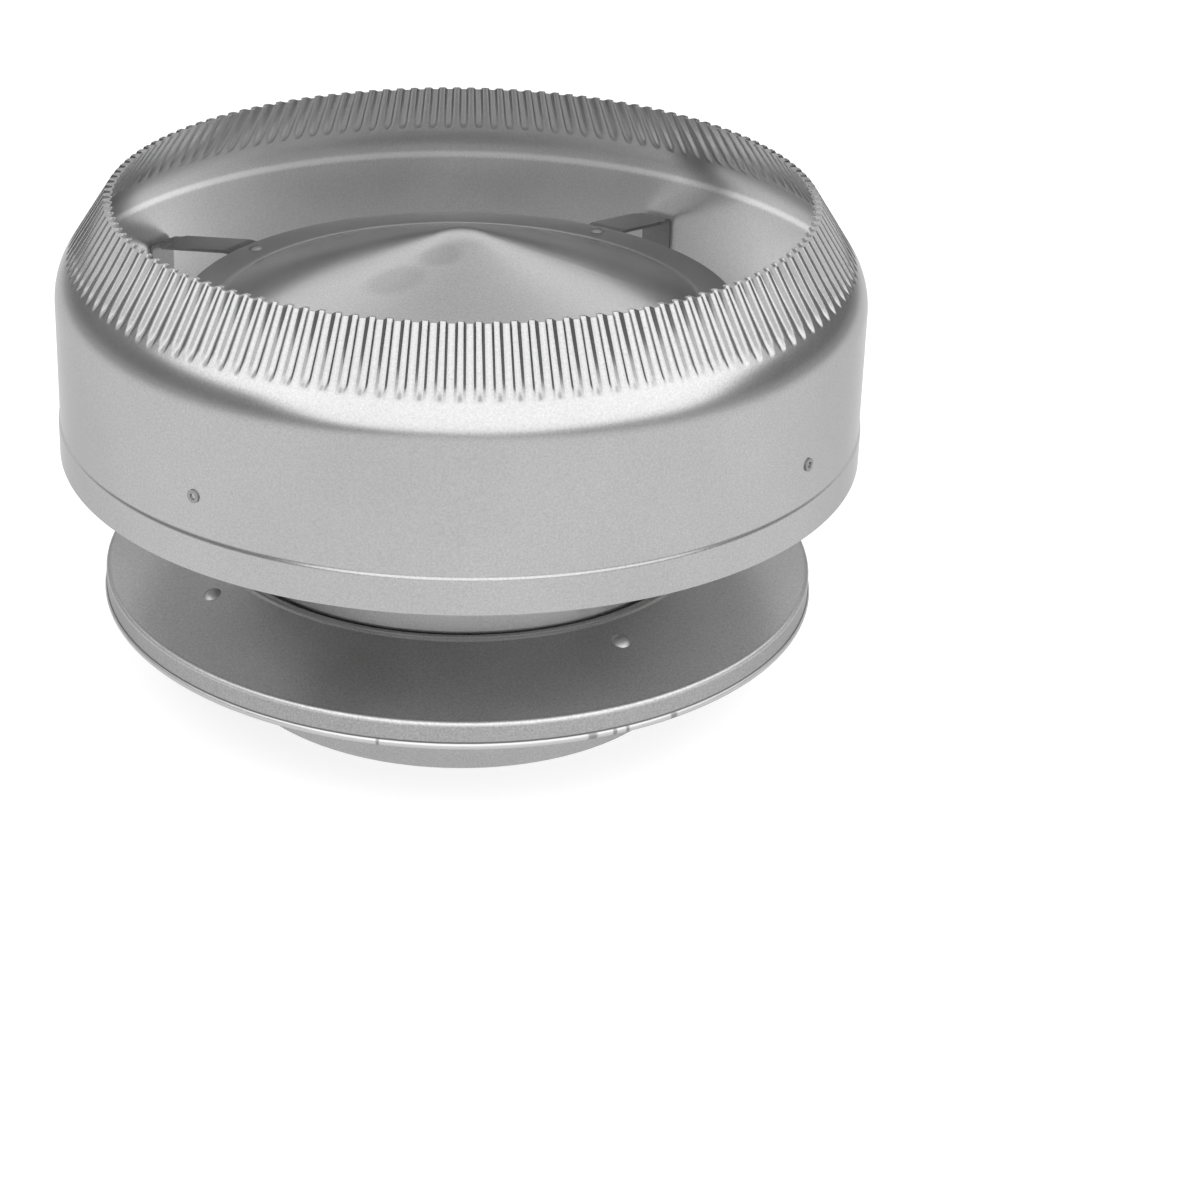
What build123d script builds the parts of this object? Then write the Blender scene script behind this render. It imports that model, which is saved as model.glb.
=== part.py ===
from build123d import *

import os
from math import atan2, cos, pi, radians, sin, sqrt, tan

# Chimney rain cap of thin galvanised sheet, for a 7 in flue. A wide wind band with a crimped lip
# stands round a shallow conical lid. Four bent straps carry both on a round collar, and the collar
# stands on a sloped base flange with a spigot that enters the flue. All sizes are millimetres.
# The origin is the centre of the spigot's lower edge, +Z points up and -Y is the front.

inch = 25.4

# Overall sizes of the cap.
band_diameter = 11.25 * inch
overall_height = 7.125 * inch
flue_diameter = 7.0 * inch

# Sheet and clearances.
sheet = 0.6
strap_thickness = 1.2
seat_gap = 0.05
sleeve_gap = 0.1

# Base flange: a sloped ring with an upright rim that ends in a rolled hem.
hem_level = 32.5
flange_diameter = 256.6
rim_height = 9.9
foot_height = 21.8
foot_gap = 0.5
foot_bead_offset = 2.1
foot_bead_width = 2.0
foot_bead_rise = 0.35
foot_bead_bend = 0.8
rim_bend_radius = 1.6
hem_radius = 1.45
hem_overhang = 0.7

# Flue spigot: a sleeve turned out under the flange, with a bead that stops it on the flue's end.
spigot_flange_width = 18.5
spigot_flange_bend = 2.0
spigot_taper_length = 20.0
spigot_taper = 3.8
spigot_taper_bend = 12.0
stop_bead_height = 8.0
stop_bead_width = 6.0
stop_bead_rise = 1.8
stop_bead_bend = 1.5

# Collar: a tube inside the spigot, up to a vent gap below the lid.
collar_lap = 16.0
collar_vent_gap = 27.0

# Wind band: an upright wall with a wider skirt, a rounded shoulder and a crimped conical lip.
band_skirt_height = 57.3
band_step_height = 69.3
band_step = 0.5
band_step_rise = 1.3
band_step_bend = 1.5
band_shoulder_height = 120.5
band_shoulder_radius = 24.0
lip_radius = 124.4

# Flutes of the crimped lip: flat ridges between narrow grooves that run out at the shoulder.
flute_count = 140
flute_start_height = 127.2
flute_full_height = 131.5
flute_depth = 1.7
groove_mouth_share = 0.68
groove_root_share = 0.28
groove_end_narrowing = 0.25
flute_root_margin = 0.06

# Lid: a shallow cone with a soft crown inside a flat rim.
lid_diameter = 198.0
lid_rim_height = 106.2
lid_rim_width = 13.0
lid_rise = 27.6
lid_crown_flat = 5.0
lid_crown_radius = 28.0
lid_bend_radius = 4.0

# Bracket straps: a foot on the collar, an arm under the lid's rim and a leg on the band.
bracket_azimuths = {"front_left": -36.5, "front_right": 54.0, "back_right": 147.0, "back_left": -125.5}
strap_width = 15.0
leg_width = 12.0
foot_length = 30.0
foot_bend = 2.5
arm_reach = 9.0
arm_bend = 6.0
arm_drop = 6.5
leg_bend = 2.0
leg_length = 22.0
leg_setback = 7.0

# Rivets: a domed head, a shank and a hollow tail rolled over on the far side.
rivet_radius = 1.5
rivet_head_radius = 2.6
rivet_head_height = 1.0
rivet_tail_radius = 2.3
rivet_tail_height = 0.5
rivet_bore_radius = 1.1
rivet_bore_depth = 2.2
flange_rivet_azimuths = (-57.2, 33.2, 123.2, -147.2)
flange_rivet_offset = 12.2
flange_head_radius = 3.3
flange_head_height = 1.5
lid_rivet_inset = 4.5
band_rivet_height = 84.0
collar_rivet_rise = 12.0
spigot_rivet_height = 15.5
tail_relief = 0.05
drill_depth = 4.8

# Radii and levels that follow from the sizes above.
band_radius = band_diameter / 2
wall_radius = band_radius - band_step
spigot_radius = flue_diameter / 2
collar_radius = spigot_radius - sheet - sleeve_gap
lid_radius = lid_diameter / 2
rim_radius = flange_diameter / 2
foot_radius = spigot_radius + foot_gap
flange_slope = atan2(foot_height - rim_height, rim_radius - foot_radius)
lip_level = overall_height
shoulder_level = hem_level + band_shoulder_height
lip_lean = atan2(wall_radius - lip_radius, lip_level - shoulder_level)
lid_level = hem_level + lid_rim_height
collar_top = lid_level - collar_vent_gap
collar_bottom = hem_level + foot_height - collar_lap
band_rivet_level = hem_level + band_rivet_height
spigot_rivet_level = hem_level + spigot_rivet_height
stop_bead_level = hem_level + stop_bead_height

# The straps follow the collar, the lid's rim and the band's wall.
foot_face = collar_radius + seat_gap
arm_level = lid_level - sheet - seat_gap
leg_seat = sqrt((wall_radius - sheet) ** 2 - (leg_width / 2) ** 2) - seat_gap
lid_rivet_radius = lid_radius - lid_rivet_inset
collar_rivet_level = arm_level - foot_length + collar_rivet_rise - strap_thickness


def sheet_section(points, radii, thickness=sheet, side=Side.LEFT):
    """Section of a bent sheet from one face's corner points and bend radii."""
    with BuildSketch() as section:
        with BuildLine():
            FilletPolyline(*points, radius=radii)
            offset(amount=thickness, side=side, closed=True)
        make_face()
    return section.sketch


def radial_plane(azimuth, radius, level, inward=False):
    """Plane on the part's side, with its normal level and pointing away from the axis."""
    turn = radians(azimuth)
    out = Vector(sin(turn), -cos(turn), 0)
    return Plane(origin=out * radius + Vector(0, 0, level), z_dir=-out if inward else out)


def strap_frame(azimuth):
    """Plane through the axis whose x axis points out along the azimuth and y axis points up."""
    turn = radians(azimuth)
    return Plane(origin=(0, 0, 0), x_dir=(sin(turn), -cos(turn), 0), z_dir=(-cos(turn), -sin(turn), 0))


def strap_plan(azimuth):
    """Level plane at the arm's height whose x axis points out along the azimuth."""
    turn = radians(azimuth)
    return Plane(origin=(0, 0, arm_level), x_dir=(sin(turn), -cos(turn), 0), z_dir=(0, 0, 1))


def slope_plane(azimuth, offset_from_foot, lift=0.0):
    """Plane square to the flange's sloped face, a distance out from its foot."""
    turn = radians(azimuth)
    radius = foot_radius + offset_from_foot
    level = hem_level + foot_height - offset_from_foot * tan(flange_slope)
    out = Vector(sin(turn), -cos(turn), 0)
    normal = out * sin(flange_slope) + Vector(0, 0, cos(flange_slope))
    return Plane(origin=out * radius + Vector(0, 0, level) + normal * lift, z_dir=normal)


def drill(planes):
    """Cut a rivet's shank hole through the active part at each plane."""
    with Locations(*planes):
        Cylinder(rivet_radius, drill_depth, mode=Mode.SUBTRACT)


def make_rivet(grip, head_radius, head_height):
    """Rivet with its head's seat at the origin, its head up and its tail under the grip."""
    with BuildPart() as rivet:
        with BuildSketch(Plane.XZ):
            with BuildLine():
                dome = TangentArc((0, head_height), (head_radius, 0), tangent=(1, 0))
                Polyline(
                    dome @ 1,
                    (rivet_radius, 0),
                    (rivet_radius, -grip),
                    (rivet_tail_radius, -grip),
                    (rivet_tail_radius, -grip - rivet_tail_height),
                    (0, -grip - rivet_tail_height),
                    dome @ 0,
                )
            make_face()
        revolve(axis=Axis.Z)
        tail_end = Plane.XY.offset(-grip - rivet_tail_height)
        with BuildSketch(tail_end):
            Circle(rivet_bore_radius)
        extrude(amount=rivet_bore_depth, mode=Mode.SUBTRACT)
    return rivet.part


def rivet_group(grip, planes, head_radius=rivet_head_radius, head_height=rivet_head_height):
    """One rivet at each plane, as separate solids."""
    rivet = make_rivet(grip, head_radius, head_height)
    with BuildPart() as group:
        with Locations(*planes):
            add(rivet)
    return group.part


def lip_outer_radius(height):
    """Radius of the lip's outer cone at a height above the hem."""
    return lip_radius + (lip_level - hem_level - height) * tan(lip_lean)


def flute_outline(height, depth, narrowing, inset):
    """Outline of the fluted cone at one level: flat ridges between grooves, moved in by an inset."""
    radius = lip_outer_radius(height) - inset
    pitch = 2 * pi / flute_count
    mouth = groove_mouth_share / 2 * narrowing
    root = groove_root_share / 2 * narrowing
    points = []
    for flute in range(flute_count):
        for share, drop in ((-mouth, 0), (-root, depth), (root, depth), (mouth, 0)):
            angle = (flute + share) * pitch
            points.append(((radius - drop) * cos(angle), (radius - drop) * sin(angle)))
    with BuildSketch() as outline:
        with BuildLine():
            Polyline(*points, close=True)
        make_face()
    return outline.sketch


def fluted_cone(root_inset, inset):
    """Solid inside the fluted cone, from the grooves' pointed ends at the shoulder to the lip."""
    levels = (
        (flute_start_height, 0, groove_end_narrowing, root_inset),
        (flute_full_height, flute_depth, 1, inset),
        (lip_level - hem_level, flute_depth, 1, inset),
    )
    with BuildPart() as cone:
        for height, depth, narrowing, move in levels:
            with BuildSketch(Plane.XY.offset(hem_level + height)):
                add(flute_outline(height, depth, narrowing, move))
        loft(ruled=True)
    return cone.part


def end_face(solid, level):
    """The solid's flat face at a level."""
    flat = solid.faces().filter_by(GeomType.PLANE)
    return flat.filter_by_position(Axis.Z, level - seat_gap, level + seat_gap)[0]


def make_band_wall():
    """Band below the flutes: skirt, step, upright wall and rounded shoulder."""
    skirt_level = hem_level + band_skirt_height
    step_level = hem_level + band_step_height
    with BuildPart() as wall:
        with BuildSketch(Plane.XZ):
            add(
                sheet_section(
                    [
                        (band_radius, skirt_level),
                        (band_radius, step_level),
                        (wall_radius, step_level + band_step_rise),
                        (wall_radius, shoulder_level),
                        (lip_radius, lip_level),
                    ],
                    [band_step_bend, band_step_bend, band_shoulder_radius],
                )
            )
        revolve(axis=Axis.Z)
        split(bisect_by=Plane.XY.offset(hem_level + flute_start_height), keep=Keep.BOTTOM)
        drill([radial_plane(az, wall_radius, band_rivet_level) for az in bracket_azimuths.values()])
    return wall.part


def make_outer_band():
    """Wind band in one piece: the wall and the crimped lip, joined face by face.

    The fluted sheet lies between an outer and an inner fluted cone. A ring closes it at the lip,
    and a narrow ring on each side joins it to the top of the wall.
    """
    root_level = hem_level + flute_start_height
    level_thickness = sheet / cos(lip_lean)
    wall = make_band_wall()
    outer = fluted_cone(flute_root_margin, 0)
    inner = fluted_cone(level_thickness - flute_root_margin, level_thickness)
    wall_end = end_face(wall, root_level)
    outer_root, inner_root = end_face(outer, root_level), end_face(inner, root_level)
    outer_lip, inner_lip = end_face(outer, lip_level), end_face(inner, lip_level)
    left_out = (wall_end, outer_root, inner_root, outer_lip, inner_lip)
    skins = [
        face
        for solid in (wall, outer, inner)
        for face in solid.faces()
        if not any(face.is_same(other) for other in left_out)
    ]
    rings = [
        Face(outer_lip.outer_wire(), [inner_lip.outer_wire()]),
        Face(wall_end.outer_wire(), [outer_root.outer_wire()]),
        Face(inner_root.outer_wire(), [wall_end.inner_wires()[0]]),
    ]
    return Solid(Shell(skins + rings))


def make_lid():
    """Lid: a shallow cone with a soft crown and a flat rim that rests on the straps."""
    bend_radius = lid_radius - lid_rim_width
    crown_level = lid_level + lid_rise
    with BuildPart() as lid:
        with BuildSketch(Plane.XZ):
            add(
                sheet_section(
                    [
                        (0, crown_level),
                        (lid_crown_flat, crown_level),
                        (bend_radius, lid_level),
                        (lid_radius, lid_level),
                    ],
                    [lid_crown_radius, lid_bend_radius],
                    side=Side.RIGHT,
                )
            )
        revolve(axis=Axis.Z)
        drill([lid_rivet_plane(az) for az in bracket_azimuths.values()])
    return lid.part


def lid_rivet_plane(azimuth):
    """Plane on top of the lid's rim where a rivet's head sits."""
    turn = radians(azimuth)
    return Plane(origin=(lid_rivet_radius * sin(turn), -lid_rivet_radius * cos(turn), lid_level))


def make_bracket(azimuth):
    """Strap bent from one strip: foot on the collar, arm under the lid, leg on the band."""
    arm_end = lid_radius + arm_reach / 2
    leg_top = arm_level - arm_drop
    narrow_start = leg_seat - leg_setback
    narrow_end = narrow_start + (strap_width - leg_width) / 2
    with BuildPart() as bracket:
        with BuildSketch(strap_frame(azimuth)):
            add(
                sheet_section(
                    [
                        (foot_face + strap_thickness, arm_level - foot_length),
                        (foot_face + strap_thickness, arm_level - strap_thickness),
                        (arm_end, arm_level - strap_thickness),
                        (leg_seat - strap_thickness, leg_top - strap_thickness),
                        (leg_seat - strap_thickness, leg_top - leg_length),
                    ],
                    [foot_bend, arm_bend, leg_bend],
                    strap_thickness,
                )
            )
        extrude(amount=strap_width / 2, both=True)
        with BuildSketch(strap_plan(azimuth)):
            with BuildLine():
                Polyline(
                    (0, strap_width / 2),
                    (narrow_start, strap_width / 2),
                    (narrow_end, leg_width / 2),
                    (band_radius, leg_width / 2),
                    (band_radius, -leg_width / 2),
                    (narrow_end, -leg_width / 2),
                    (narrow_start, -strap_width / 2),
                    (0, -strap_width / 2),
                    close=True,
                )
            make_face()
        extrude(amount=foot_length + strap_width, both=True, mode=Mode.INTERSECT)
        drill(
            [
                radial_plane(azimuth, wall_radius, band_rivet_level),
                radial_plane(azimuth, collar_radius, collar_rivet_level),
                lid_rivet_plane(azimuth),
            ]
        )
    return bracket.part


def make_collar():
    """Collar: a plain tube that stands in the spigot and carries the straps."""
    with BuildPart() as collar:
        with BuildSketch(Plane.XY.offset(collar_bottom)):
            Circle(collar_radius)
            Circle(collar_radius - sheet, mode=Mode.SUBTRACT)
        extrude(amount=collar_top - collar_bottom)
        drill([radial_plane(az, collar_radius, collar_rivet_level) for az in bracket_azimuths.values()])
        drill([radial_plane(az, collar_radius, spigot_rivet_level) for az in flange_rivet_azimuths])
    return collar.part


def level_under_flange(radius):
    """Level of the face that lies a seat gap under the flange's sloped sheet."""
    drop = (sheet + seat_gap) / cos(flange_slope)
    return hem_level + foot_height - drop - (radius - foot_radius) * tan(flange_slope)


def make_flue_spigot():
    """Spigot: a sleeve turned out under the flange, with a stop bead and a drawn-in end."""
    inner_radius = spigot_radius - sheet
    flange_edge = spigot_radius + spigot_flange_width
    end_spare = 2 * sheet
    end_radius = inner_radius - spigot_taper * (1 + end_spare / spigot_taper_length)
    with BuildPart() as spigot:
        with BuildSketch(Plane.XZ):
            add(
                sheet_section(
                    [
                        (end_radius, -end_spare),
                        (inner_radius, spigot_taper_length),
                        (inner_radius, stop_bead_level - stop_bead_width / 2),
                        (inner_radius + stop_bead_rise, stop_bead_level),
                        (inner_radius, stop_bead_level + stop_bead_width / 2),
                        (inner_radius, level_under_flange(inner_radius)),
                        (flange_edge, level_under_flange(flange_edge)),
                    ],
                    [
                        spigot_taper_bend,
                        stop_bead_bend,
                        stop_bead_bend,
                        stop_bead_bend,
                        spigot_flange_bend,
                    ],
                    side=Side.RIGHT,
                )
            )
        revolve(axis=Axis.Z)
        split(bisect_by=Plane.XY, keep=Keep.TOP)
        drill([slope_plane(az, flange_rivet_offset) for az in flange_rivet_azimuths])
        drill([radial_plane(az, spigot_radius, spigot_rivet_level) for az in flange_rivet_azimuths])
    return spigot.part


def make_base_flange():
    """Base flange: sloped ring with a bead at the foot, an upright rim and a rolled hem."""
    def on_slope(distance, rise=0.0):
        """Point on the sloped face, a distance out from the foot and raised above it."""
        return (foot_radius + distance, hem_level + foot_height - distance * tan(flange_slope) + rise)

    bead_start = foot_bead_offset - foot_bead_width / 2
    bead_end = foot_bead_offset + foot_bead_width / 2
    with BuildPart() as flange:
        with BuildSketch(Plane.XZ):
            add(
                sheet_section(
                    [
                        on_slope(0),
                        on_slope(bead_start),
                        on_slope(foot_bead_offset, foot_bead_rise),
                        on_slope(bead_end),
                        (rim_radius, hem_level + rim_height),
                        (rim_radius, hem_level + hem_radius),
                    ],
                    [foot_bead_bend, foot_bead_bend, foot_bead_bend, rim_bend_radius],
                    side=Side.RIGHT,
                )
            )
            with Locations((rim_radius + hem_overhang - hem_radius, hem_level + hem_radius)):
                Circle(hem_radius)
        revolve(axis=Axis.Z)
        drill([slope_plane(az, flange_rivet_offset) for az in flange_rivet_azimuths])
    return flange.part


def make_band_rivets():
    """Rivets through each strap's leg and the band, with their heads inside the band."""
    leg_face = leg_seat - strap_thickness
    planes = [
        radial_plane(az, leg_face, band_rivet_level, inward=True) for az in bracket_azimuths.values()
    ]
    return rivet_group(wall_radius - leg_face, planes)


def make_lid_rivets():
    """Rivets down through the lid's rim and each strap's arm."""
    grip = sheet + seat_gap + strap_thickness
    return rivet_group(grip, [lid_rivet_plane(az) for az in bracket_azimuths.values()])


def make_collar_rivets():
    """Rivets through each strap's foot and the collar, with their heads outside."""
    grip = strap_thickness + seat_gap + sheet + tail_relief
    seat = foot_face + strap_thickness
    planes = [radial_plane(az, seat, collar_rivet_level) for az in bracket_azimuths.values()]
    return rivet_group(grip, planes)


def make_flange_rivets():
    """Rivets down through the flange's slope and the spigot's turned-out edge."""
    grip = 2 * sheet + seat_gap + tail_relief
    planes = [slope_plane(az, flange_rivet_offset) for az in flange_rivet_azimuths]
    return rivet_group(grip, planes, flange_head_radius, flange_head_height)


def make_spigot_rivets():
    """Rivets through the spigot and the collar inside it."""
    grip = 2 * sheet + sleeve_gap + tail_relief
    planes = [radial_plane(az, spigot_radius, spigot_rivet_level) for az in flange_rivet_azimuths]
    return rivet_group(grip, planes)


def save(part, name):
    """Label a finished piece and write it."""
    part.label = name
    export_step(part, f"parts/{name}.step")


os.makedirs("parts", exist_ok=True)
save(make_outer_band(), "outer_band")
save(make_lid(), "lid")
save(make_collar(), "collar")
save(make_flue_spigot(), "flue_spigot")
save(make_base_flange(), "base_flange")
for place, azimuth in bracket_azimuths.items():
    save(make_bracket(azimuth), f"bracket_{place}")
save(make_band_rivets(), "band_rivets")
save(make_lid_rivets(), "lid_rivets")
save(make_collar_rivets(), "collar_rivets")
save(make_flange_rivets(), "flange_rivets")
save(make_spigot_rivets(), "spigot_rivets")
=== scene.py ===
from math import radians

import bpy
import numpy as np
from mathutils import Euler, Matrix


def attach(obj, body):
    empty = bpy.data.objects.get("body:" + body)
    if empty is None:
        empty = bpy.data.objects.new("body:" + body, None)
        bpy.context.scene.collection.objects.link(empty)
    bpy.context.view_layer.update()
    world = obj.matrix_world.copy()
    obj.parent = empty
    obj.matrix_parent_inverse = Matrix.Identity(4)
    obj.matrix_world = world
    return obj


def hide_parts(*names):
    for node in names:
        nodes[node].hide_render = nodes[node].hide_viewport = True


# A round chimney rain cap of thin galvanised sheet: a wide wind band with a crimped lip, a shallow
# conical lid on four bent straps, a collar, a sloped base flange and a spigot for the flue.
# Metres, +Z up, -Y towards the camera, as in the CAD frame.
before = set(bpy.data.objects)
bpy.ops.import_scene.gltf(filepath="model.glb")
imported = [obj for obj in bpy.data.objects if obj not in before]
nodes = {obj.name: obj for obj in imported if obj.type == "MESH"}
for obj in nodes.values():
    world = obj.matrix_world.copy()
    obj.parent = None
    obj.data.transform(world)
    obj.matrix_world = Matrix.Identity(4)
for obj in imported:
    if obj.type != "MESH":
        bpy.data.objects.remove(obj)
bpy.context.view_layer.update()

# Camera. Fitted to the photograph's circles: long lens, a little over 23 degrees down. The frame
# holds the cap at its upper left, which the lens shift gives.
camera_distance = 0.91864
camera_height = 0.49755
camera_pitch = 0.405
camera_yaw = 0.00087
camera_roll = 0.0134
focal_pixels = 2783.08
centre_pixels = (457.64, 395.36)
frame_pixels = 1200

camera = bpy.data.cameras.new("camera")
camera.sensor_width = 36.0
camera.lens = camera.sensor_width * focal_pixels / frame_pixels
camera.shift_x = (frame_pixels / 2 - centre_pixels[0]) / frame_pixels
camera.shift_y = (centre_pixels[1] - frame_pixels / 2) / frame_pixels
camera.clip_end = 50.0
camera_object = bpy.data.objects.new("camera", camera)
bpy.context.scene.collection.objects.link(camera_object)
camera_object.location = (0.0, -camera_distance, camera_height)
aim = Euler((radians(90) - camera_pitch, 0.0, camera_yaw), "XYZ").to_matrix()
roll = Euler((0.0, 0.0, camera_roll), "XYZ").to_matrix()
camera_object.rotation_euler = (aim @ roll).to_euler()
bpy.context.scene.camera = camera_object
bpy.context.scene.view_settings.view_transform = "Standard"

# Studio. A plain room: white walls and lights from a little above the floor up to a softer ceiling,
# open right down to the floor in front, and a dark strip along the floor at the sides and back.
white_wall = 2.3
dark_strip = 0.32
back_wall = 0.38
ceiling_low = 1.10
ceiling_top = 0.68
front_turn = radians(15)
strip_top = 0.36
strip_top_back = 0.18
front_foot = 0.06
ceiling_edge_back = 0.28
ceiling_edge_front = 0.88


def calc(tree, operation, *values):
    """Output of a math node whose inputs are sockets or plain numbers."""
    node = tree.nodes.new("ShaderNodeMath")
    node.operation = operation
    for place, value in enumerate(values):
        if isinstance(value, bpy.types.NodeSocket):
            tree.links.new(value, node.inputs[place])
        else:
            node.inputs[place].default_value = value
    return node.outputs[0]


def ease(tree, value, low, high, start=0.0, end=1.0):
    """Smooth rise from start to end while the value goes from low to high."""
    node = tree.nodes.new("ShaderNodeMapRange")
    node.interpolation_type = "SMOOTHSTEP"
    tree.links.new(value, node.inputs["Value"])
    node.inputs["From Min"].default_value = low
    node.inputs["From Max"].default_value = high
    for name, end_value in (("To Min", start), ("To Max", end)):
        if isinstance(end_value, bpy.types.NodeSocket):
            tree.links.new(end_value, node.inputs[name])
        else:
            node.inputs[name].default_value = end_value
    return node.outputs["Result"]


world = bpy.data.worlds.new("room")
bpy.context.scene.world = world
world.use_nodes = True
tree = world.node_tree
tree.nodes.clear()
coords = tree.nodes.new("ShaderNodeTexCoord")
way = tree.nodes.new("ShaderNodeSeparateXYZ")
tree.links.new(coords.outputs["Generated"], way.inputs[0])
sideways = calc(tree, "MULTIPLY", way.outputs["X"], float(np.sin(front_turn)))
forward = calc(tree, "MULTIPLY_ADD", way.outputs["Y"], -float(np.cos(front_turn)), sideways)
side_top = ease(tree, forward, -0.80, -0.55, strip_top_back, strip_top)
strip_edge = ease(tree, forward, 0.22, 0.74, side_top, front_foot)
above_strip = calc(tree, "SUBTRACT", way.outputs["Z"], strip_edge)
walls = ease(tree, forward, -0.80, -0.40, back_wall, white_wall)
ceiling_edge = ease(tree, forward, -0.50, 0.10, ceiling_edge_back, ceiling_edge_front)
above_walls = calc(tree, "SUBTRACT", way.outputs["Z"], ceiling_edge)
ceiling = ease(tree, way.outputs["Z"], 0.50, 0.90, ceiling_low, ceiling_top)
upper = ease(tree, above_walls, -0.08, 0.08, walls, ceiling)
tone = ease(tree, above_strip, -0.04, 0.07, dark_strip, upper)
room = tree.nodes.new("ShaderNodeBackground")
tree.links.new(tone, room.inputs["Color"])
output = tree.nodes.new("ShaderNodeOutputWorld")
tree.links.new(room.outputs[0], output.inputs["Surface"])


# Floor. Plain matt white paper under the cap. A glow that the camera and the metal see keeps it
# white, and it still takes the cap's shadow.
paper_tone = (0.42, 0.42, 0.42)
paper_glow = 0.70
paper_roughness = 0.9
glow_half_width = (0.6, 1.1)
floor_half = 6.0


def mesh_from_grid(name, points, ring_columns=True, ring_rows=True):
    """Quad mesh of a grid of points (rows, columns, 3), joined round its columns and rows if asked.
    A face points to the side that a column step turned towards a row step gives."""
    rows, columns = points.shape[:2]
    index = np.arange(rows * columns).reshape(rows, columns)
    if ring_columns:
        index = np.concatenate([index, index[:, :1]], axis=1)
    if ring_rows:
        index = np.concatenate([index, index[:1]], axis=0)
    faces = np.stack([index[:-1, :-1], index[:-1, 1:], index[1:, 1:], index[1:, :-1]], axis=-1)
    faces = faces.reshape(-1, 4)
    mesh = bpy.data.meshes.new(name)
    mesh.from_pydata(points.reshape(-1, 3).tolist(), [], faces.tolist())
    mesh.polygons.foreach_set("use_smooth", np.ones(len(faces), bool))
    mesh.update()
    piece = bpy.data.objects.new(name, mesh)
    bpy.context.scene.collection.objects.link(piece)
    return piece


def object_place(tree):
    """X, Y and Z outputs of the object's own coordinates."""
    spot = tree.nodes.new("ShaderNodeSeparateXYZ")
    tree.links.new(tree.nodes.new("ShaderNodeTexCoord").outputs["Object"], spot.inputs[0])
    return spot.outputs


corner_line = np.linspace(-floor_half, floor_half, 2)
corner_grid = np.stack([*np.meshgrid(corner_line, corner_line), np.zeros((2, 2))], axis=-1)
floor = mesh_from_grid("floor", corner_grid, ring_columns=False, ring_rows=False)
floor_paper = bpy.data.materials.new("floor paper")
floor_paper.use_nodes = True
tree = floor_paper.node_tree
paper = tree.nodes["Principled BSDF"]
paper.inputs["Base Color"].default_value = (*paper_tone, 1.0)
paper.inputs["Roughness"].default_value = paper_roughness
paper.inputs["Specular IOR Level"].default_value = 0.0
paper.inputs["Emission Color"].default_value = (1.0, 1.0, 1.0, 1.0)
rays = tree.nodes.new("ShaderNodeLightPath")
seen = calc(tree, "MAXIMUM", rays.outputs["Is Camera Ray"], rays.outputs["Is Glossy Ray"])
seen = calc(tree, "MAXIMUM", seen, rays.outputs["Is Transmission Ray"])
off_middle = calc(tree, "ABSOLUTE", object_place(tree)["X"])
glow = ease(tree, off_middle, *glow_half_width, paper_glow, 0.0)
tree.links.new(calc(tree, "MULTIPLY", seen, glow), paper.inputs["Emission Strength"])
floor.data.materials.append(floor_paper)


# Wind band: one rolled sheet with a small step near its lower edge, a rounded shoulder and a lip
# that leans in. The lip is crimped between rollers: grooves pressed in from outside, rounded at
# their lower ends, with ridges between them that run on into the shoulder. Satin zinc finish.
hem_level = 0.0325
sheet = 0.0006
skirt_radius = 0.142875
wall_radius = 0.142375
lip_radius = 0.1244
skirt_foot = 0.0573
step_low = 0.0690
step_high = 0.0709
shoulder_corner = 0.1205
shoulder_bend = 0.024
lip_top = 0.148475
groove_count = 140
groove_depth_foot = 0.0006
groove_depth_lip = 0.0020
groove_reach = [0.0, 0.15, 0.18, 0.29, 0.32]
groove_share_of_depth = [1.0, 1.0, 0.88, 0.12, 0.0]
flank_reach = [0.14, 0.17, 0.30, 0.33]
groove_foot = 0.1272
groove_full = 0.1315
band_tone = 0.40
band_roughness = 0.24
# Painted light: the inside face of the same sheet takes a lighter tone than the outside.
inner_painted_light_tone = 0.65
inner_roughness = 0.36
# Painted shade: the tone is lowered on the groove flanks, outside and in, standing in for the dark that
# the flanks reflect.
outer_flank_shade = 0.45
inner_flank_shade = 0.02
# Painted shade: the inside face is darker up the lip.
lip_inner_painted_shade = 0.74
lip_inner_start = (0.119, 0.127)
# Painted highlight: a bright ring round the inside of the band just below the shoulder.
inner_highlight_line = 0.1155
inner_highlight_half_width = (0.0003, 0.0022)
inner_ring_highlight = 0.5


def smooth_step(value):
    """Three times the square less twice the cube, of a value held between 0 and 1."""
    held = np.clip(value, 0.0, 1.0)
    return held * held * (3.0 - 2.0 * held)


def band_outline(height):
    """Radius of the band's outer face at a height above the hem: skirt radius, less the step, then
    an arc round the shoulder's centre, then the straight lean to the lip. Gives also the length
    along the sheet for each unit of height."""
    lean = np.arctan2(wall_radius - lip_radius, lip_top - shoulder_corner)
    bend_start = shoulder_corner - shoulder_bend * np.tan(lean / 2)
    bend_end = bend_start + shoulder_bend * np.sin(lean)
    step = smooth_step((height - step_low) / (step_high - step_low))
    wall = skirt_radius - (skirt_radius - wall_radius) * step
    rise = np.clip(height - bend_start, 0.0, bend_end - bend_start)
    across = np.sqrt(shoulder_bend ** 2 - rise ** 2)
    bent = wall - shoulder_bend + across
    leant = bent - np.tan(lean) * np.clip(height - bend_end, 0.0, None)
    slope = np.where(height > bend_end, np.tan(lean), rise / across)
    return leant, np.sqrt(1.0 + slope ** 2)


def groove_press(height, share):
    """Depth pressed in at a height and a share of the pitch from the groove's middle: full on the
    floor, straight down the flanks with eased corners, none past the mouth. The lower end is
    elliptic, and the depth grows towards the lip."""
    below_full = np.clip((groove_full - height) / (groove_full - groove_foot), 0.0, None)
    foot = groove_reach[-1] * below_full
    flank = np.interp(np.hypot(share, foot), groove_reach, groove_share_of_depth)
    grown = np.interp(height, [groove_foot, lip_top], [groove_depth_foot, groove_depth_lip])
    return grown * flank


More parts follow.
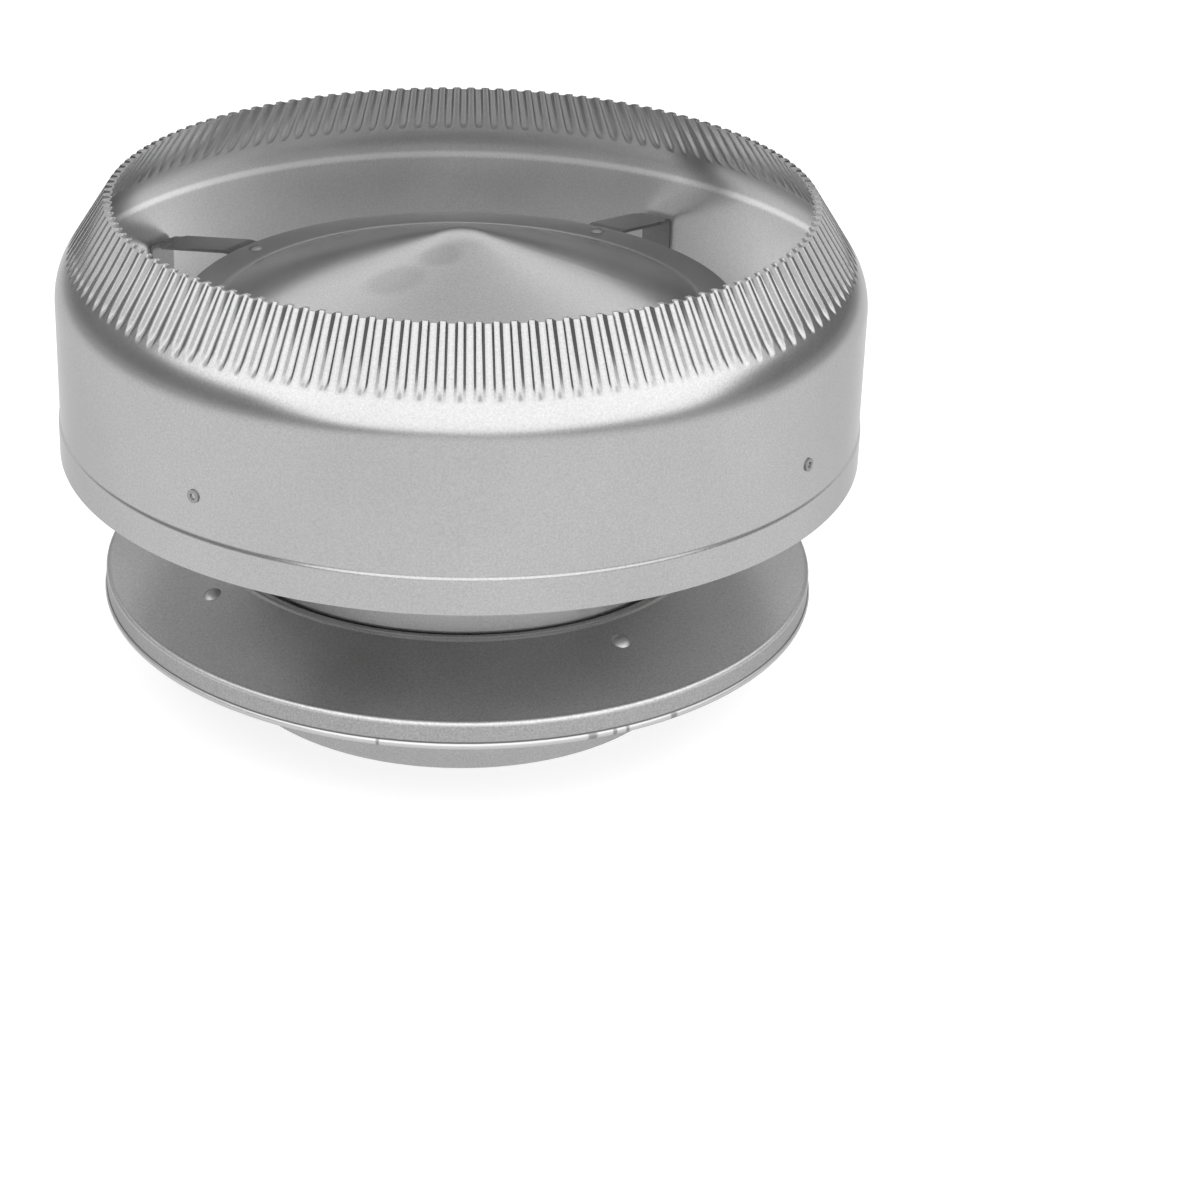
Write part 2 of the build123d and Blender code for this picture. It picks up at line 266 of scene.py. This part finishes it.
half_pitch = np.array([*groove_reach, 0.5])
pitch_share = np.concatenate([-half_pitch[-2:0:-1], half_pitch])
groove_turn = ((np.arange(groove_count)[:, None] + pitch_share) * 2 * np.pi / groove_count).ravel()
groove_share = np.tile(pitch_share, groove_count)
shoulder_rows = [112.9, 113.8, 115.5, 117.5, 119.5, 121.5, 123.5, 125.3, 126.6]
groove_rows = [127.2, 127.7, 128.3, 129.0, 129.8, 130.6, 131.5, 133.0, 137.0, 142.5, 148.2, 148.475]
step_rows = [68.3, 68.9, 69.3, 69.7, 70.1, 70.5, 71.0, 71.6]
outer_rows = np.array([57.3, 57.5, *step_rows, 72.5, *shoulder_rows, *groove_rows]) / 1000
inner_rows = np.array([57.3, 57.5, *step_rows[::2], 72.5, *shoulder_rows[::2], *groove_rows])[::-1] / 1000
row_height = np.concatenate([outer_rows, inner_rows])[:, None]
row_inset = np.concatenate([np.zeros(len(outer_rows)), np.full(len(inner_rows), sheet)])[:, None]
row_radius, row_stretch = band_outline(row_height)
band_ring = row_radius - (groove_press(row_height, groove_share) + row_inset) * row_stretch
band_points = np.stack([
    band_ring * np.cos(groove_turn),
    band_ring * np.sin(groove_turn),
    np.broadcast_to(row_height + hem_level, band_ring.shape),
], axis=-1)
wind_band = mesh_from_grid("wind_band", band_points)
wind_band.data.set_sharp_from_angle(angle=radians(56))
outer_side = len(outer_rows) - 1
band_faces = np.zeros((len(row_height), len(groove_turn)), np.int32)
band_faces[outer_side:] = 1
wind_band.data.polygons.foreach_set("material_index", band_faces.ravel())
on_flank = np.interp(np.abs(groove_share), flank_reach, [0.0, 1.0, 1.0, 0.0])
reached = np.clip((row_height - groove_foot) / (groove_full - groove_foot), 0.0, 1.0)
flank_share = wind_band.data.attributes.new("flank", "FLOAT", "POINT")
flank_share.data.foreach_set("value", (on_flank * reached).ravel())


def new_group(name, inputs, outputs):
    """Empty shader group with named float inputs and outputs of the given socket kinds."""
    group = bpy.data.node_groups.new(name, "ShaderNodeTree")
    for label, value in inputs:
        socket = group.interface.new_socket(label, in_out="INPUT", socket_type="NodeSocketFloat")
        socket.default_value = value
    for label, kind in outputs:
        group.interface.new_socket(label, in_out="OUTPUT", socket_type=kind)
    return group, group.nodes.new("NodeGroupInput").outputs, group.nodes.new("NodeGroupOutput").inputs


def cloud(tree, place, scale, detail, roughness=0.5):
    """Noise value over the surface, about 0 to 1."""
    noise = tree.nodes.new("ShaderNodeTexNoise")
    tree.links.new(place, noise.inputs["Vector"])
    noise.inputs["Detail"].default_value = detail
    noise.inputs["Roughness"].default_value = roughness
    if isinstance(scale, bpy.types.NodeSocket):
        tree.links.new(scale, noise.inputs["Scale"])
    else:
        noise.inputs["Scale"].default_value = scale
    return noise.outputs["Fac"]


# The zinc skin that all the sheet has: soft clouds of tone a few centimetres wide, a fine grain,
# a roughness that wanders with the clouds, and slow waves left in the sheet by rolling.
zinc_inputs = [("Tone", 0.54), ("Cloud depth", 0.06), ("Grain depth", 0.05), ("Roughness", 0.2),
               ("Wave", 1.0)]
zinc_outputs = [("Tone", "NodeSocketFloat"), ("Roughness", "NodeSocketFloat"),
                ("Height", "NodeSocketFloat")]
zinc_skin, given, result = new_group("zinc skin", zinc_inputs, zinc_outputs)
place = zinc_skin.nodes.new("ShaderNodeTexCoord").outputs["Object"]
clouds = calc(zinc_skin, "SUBTRACT", cloud(zinc_skin, place, 16.0, 3.0), 0.5)
grain = calc(zinc_skin, "SUBTRACT", cloud(zinc_skin, place, 1500.0, 1.0), 0.5)
clouded = calc(zinc_skin, "MULTIPLY_ADD", clouds, given["Cloud depth"], 1.0)
grained = calc(zinc_skin, "MULTIPLY_ADD", grain, given["Grain depth"], clouded)
zinc_skin.links.new(calc(zinc_skin, "MULTIPLY", grained, given["Tone"]), result["Tone"])
wandering = calc(zinc_skin, "MULTIPLY_ADD", clouds, 0.5, 1.0)
zinc_skin.links.new(calc(zinc_skin, "MULTIPLY", wandering, given["Roughness"]), result["Roughness"])
waves = calc(zinc_skin, "MULTIPLY", cloud(zinc_skin, place, 22.0, 1.0), given["Wave"])
zinc_skin.links.new(calc(zinc_skin, "MULTIPLY_ADD", grain, 0.004, waves), result["Height"])


def zinc_sheet(name, tone, roughness, cloud_depth=0.24, grain_depth=0.36, wave=1.0):
    """Metal material with the zinc skin. Gives the material, its tree, shader and skin outputs."""
    material = bpy.data.materials.new(name)
    material.use_nodes = True
    tree = material.node_tree
    metal = tree.nodes["Principled BSDF"]
    metal.inputs["Metallic"].default_value = 1.0
    metal.inputs["Specular Tint"].default_value = (0.7, 0.7, 0.7, 1.0)
    skin = tree.nodes.new("ShaderNodeGroup")
    skin.node_tree = zinc_skin
    for label, value in (("Tone", tone), ("Roughness", roughness), ("Cloud depth", cloud_depth),
                         ("Grain depth", grain_depth), ("Wave", wave)):
        skin.inputs[label].default_value = value
    bump = tree.nodes.new("ShaderNodeBump")
    bump.inputs["Strength"].default_value = 0.5
    bump.inputs["Distance"].default_value = 0.0006
    tree.links.new(skin.outputs["Height"], bump.inputs["Height"])
    tree.links.new(bump.outputs["Normal"], metal.inputs["Normal"])
    tree.links.new(skin.outputs["Roughness"], metal.inputs["Roughness"])
    tree.links.new(skin.outputs["Tone"], metal.inputs["Base Color"])
    return material, tree, metal, skin.outputs


for name, tone, roughness, flank_shade in (("band zinc", band_tone, band_roughness, outer_flank_shade),
                                       ("band inner zinc", inner_painted_light_tone, inner_roughness, inner_flank_shade)):
    band_zinc, tree, metal, skin = zinc_sheet(name, tone, roughness)
    # Painted shade on the groove flanks, weighted by the flank share.
    flank = tree.nodes.new("ShaderNodeAttribute")
    flank.attribute_name = "flank"
    kept = calc(tree, "MULTIPLY_ADD", flank.outputs["Fac"], -flank_shade, 1.0)
    toned = calc(tree, "MULTIPLY", skin["Tone"], kept)
    if name == "band inner zinc":
        height = calc(tree, "SUBTRACT", object_place(tree)["Z"], hem_level)
        # Painted highlight ring round the inside of the band.
        off_line = calc(tree, "ABSOLUTE", calc(tree, "SUBTRACT", height, inner_highlight_line))
        shine = ease(tree, off_line, *inner_highlight_half_width, 1.0 + inner_ring_highlight, 1.0)
        # Painted highlight ring below the shoulder, painted shade up the lip.
        highlight_and_lip_shade = ease(tree, height, *lip_inner_start, shine, lip_inner_painted_shade)
        toned = calc(tree, "MULTIPLY", toned, highlight_and_lip_shade)
    tree.links.new(toned, metal.inputs["Base Color"])
    wind_band.data.materials.append(band_zinc)
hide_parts("outer_band")
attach(wind_band, "root")


def dress(material, *names):
    """Give a CAD node's every slot the material."""
    for name in names:
        slots = nodes[name].data.materials
        slots.clear()
        slots.append(material)


# Lid: a disc of the same sheet pressed to a shallow cone inside a flat rim, riveted through the
# rim to the four straps. Two finger smudges near its top dull the zinc.
lid_tone = 0.54
lid_roughness = 0.24
smudges = [((-0.0228, -0.0238), (0.011, 0.008)), ((-0.0075, -0.0141), (0.008, 0.006))]
smudge_depth = 0.15
smudge_edge = (0.6, 1.25)
# Painted highlight: a bright ring along the fold between the flat rim and the cone.
fold_radius = 0.0862
fold_half_width = (0.0003, 0.0020)
fold_painted_highlight = 0.35


def length(tree, first, second):
    """Square root of the sum of two squares."""
    squares = [calc(tree, "POWER", value, 2.0) for value in (first, second)]
    return calc(tree, "SQRT", calc(tree, "ADD", *squares))


lid_zinc, tree, metal, skin = zinc_sheet("lid zinc", lid_tone, lid_roughness)
spot = object_place(tree)
kept = None
for (x, y), (wide, deep) in smudges:
    along = calc(tree, "DIVIDE", calc(tree, "SUBTRACT", spot["X"], x), wide)
    away = calc(tree, "DIVIDE", calc(tree, "SUBTRACT", spot["Y"], y), deep)
    share = ease(tree, length(tree, along, away), *smudge_edge, 1.0 - smudge_depth, 1.0)
    kept = share if kept is None else calc(tree, "MULTIPLY", kept, share)
outward = length(tree, spot["X"], spot["Y"])
off_fold = calc(tree, "ABSOLUTE", calc(tree, "SUBTRACT", outward, fold_radius))
# The smudges darken the tone, and the fold gets the painted highlight.
smudged_and_highlit = calc(tree, "MULTIPLY", kept, ease(tree, off_fold, *fold_half_width, 1.0 + fold_painted_highlight, 1.0))
tree.links.new(calc(tree, "MULTIPLY", skin["Tone"], smudged_and_highlit), metal.inputs["Base Color"])
dress(lid_zinc, "lid")

# Collar and flue spigot: the inner tube that carries the cap, and the sleeve round it that enters
# the flue. Both are rolled from the same sheet and riveted to each other.
tube_tone = 0.44
tube_roughness = 0.26
tube_zinc = zinc_sheet("tube zinc", tube_tone, tube_roughness)[0]
dress(tube_zinc, "collar", "flue_spigot")

# Base flange: a sloped ring with a bead at its foot and an upright rim that ends in a rolled hem.
# The hem is painted lighter as light, the groove above it is painted dark as shade, and a few nicks show
# along its front.
flange_tone = 0.42
# Painted shade: the upright rim is darker than the sloped ring, standing in for the shadowed floor it
# reflects.
rim_painted_shade = 0.8
flange_roughness = 0.40
flange_grain_depth = 0.65
# Painted highlight: a bright line along the bend between the sloped ring and the upright rim.
bend_painted_highlight = 0.3
bend_height = 0.0094
bend_half_width = (0.0004, 0.0010)
bend_start = (0.1258, 0.1266)
rim_start = (0.1265, 0.1272)
# Painted light: a lighter flat tone on the rolled hem, standing in for the bright floor it reflects.
hem_painted_light_tone = 0.50
# Painted shade: a dark line in the crease between the rim wall and the hem.
crevice_painted_shade = 0.16
hem_edge = (0.0024, 0.0026)
crevice_edge = (0.0029, 0.0032)
nick_turns = [(-11.4, 0.35), (20.6, 1.0), (24.2, 0.45), (26.3, 0.4), (34.5, 0.8)]
nick_depth = 0.5

flange_zinc, tree, metal, skin = zinc_sheet("flange zinc", flange_tone, flange_roughness,
                                           grain_depth=flange_grain_depth)
spot = object_place(tree)
height = calc(tree, "SUBTRACT", spot["Z"], hem_level)
toward_front = calc(tree, "MULTIPLY", spot["Y"], -1.0)
turn = calc(tree, "MULTIPLY", calc(tree, "ARCTAN2", spot["X"], toward_front), 180 / float(np.pi))
distance = length(tree, spot["X"], spot["Y"])
rim_side = ease(tree, distance, *rim_start)
# Painted highlight along the bend.
off_bend = calc(tree, "ABSOLUTE", calc(tree, "SUBTRACT", height, bend_height))
bend_highlight = calc(tree, "MULTIPLY", ease(tree, off_bend, *bend_half_width, bend_painted_highlight, 0.0),
                 ease(tree, distance, *bend_start))
highlit_slope = calc(tree, "MULTIPLY", calc(tree, "ADD", bend_highlight, 1.0), skin["Tone"])
bare = None
for nick_turn, half_width in nick_turns:
    off = calc(tree, "ABSOLUTE", calc(tree, "SUBTRACT", turn, nick_turn))
    share = ease(tree, off, half_width * 0.4, half_width, 1.0 - nick_depth, 1.0)
    bare = share if bare is None else calc(tree, "MULTIPLY", bare, share)
# Painted light on the hem, darkened at the nicks.
bright = calc(tree, "MULTIPLY", bare, hem_painted_light_tone)
hem = ease(tree, height, *hem_edge, bright, crevice_painted_shade)
# Painted shade on the rim wall, with the painted highlight along the bend.
rim_shade_and_highlight = calc(tree, "ADD", bend_highlight, rim_painted_shade)
rim_skin = calc(tree, "MULTIPLY", skin["Tone"], rim_shade_and_highlight)
rim = ease(tree, height, *crevice_edge, hem, rim_skin)
mixed = tree.nodes.new("ShaderNodeMix")
tree.links.new(rim_side, mixed.inputs["Factor"])
tree.links.new(highlit_slope, mixed.inputs["A"])
tree.links.new(rim, mixed.inputs["B"])
tree.links.new(mixed.outputs["Result"], metal.inputs["Base Color"])
dress(flange_zinc, "base_flange")

# Bracket straps: four lengths of thicker galvanised strip, bent twice, that hold the lid and the
# band on the collar. Their zinc is a little rougher than the sheet's, and painted darker as shade.
# Painted shade: the strap tone is lowered to stand in for the shade under the lid.
strap_shade_tone = 0.26
strap_roughness = 0.30
strap_zinc = zinc_sheet("strap zinc", strap_shade_tone, strap_roughness, wave=0.3)[0]
dress(strap_zinc, "bracket_front_left", "bracket_front_right", "bracket_back_right", "bracket_back_left")

# Rivets: short domed rivets set by hand. Those of the band and the lid are painted darker, as shade; the
# others are lighter.
shaded_rivet_tone = 0.30
rivet_tone = 0.40
rivet_roughness = 0.42
shaded_rivet = zinc_sheet("shaded rivet", shaded_rivet_tone, rivet_roughness, 0.3, 0.3, 0.1)[0]
bright_rivet = zinc_sheet("bright rivet", rivet_tone, rivet_roughness, 0.3, 0.3, 0.1)[0]
dress(shaded_rivet, "band_rivets", "lid_rivets")
dress(bright_rivet, "collar_rivets", "flange_rivets", "spigot_rivets")
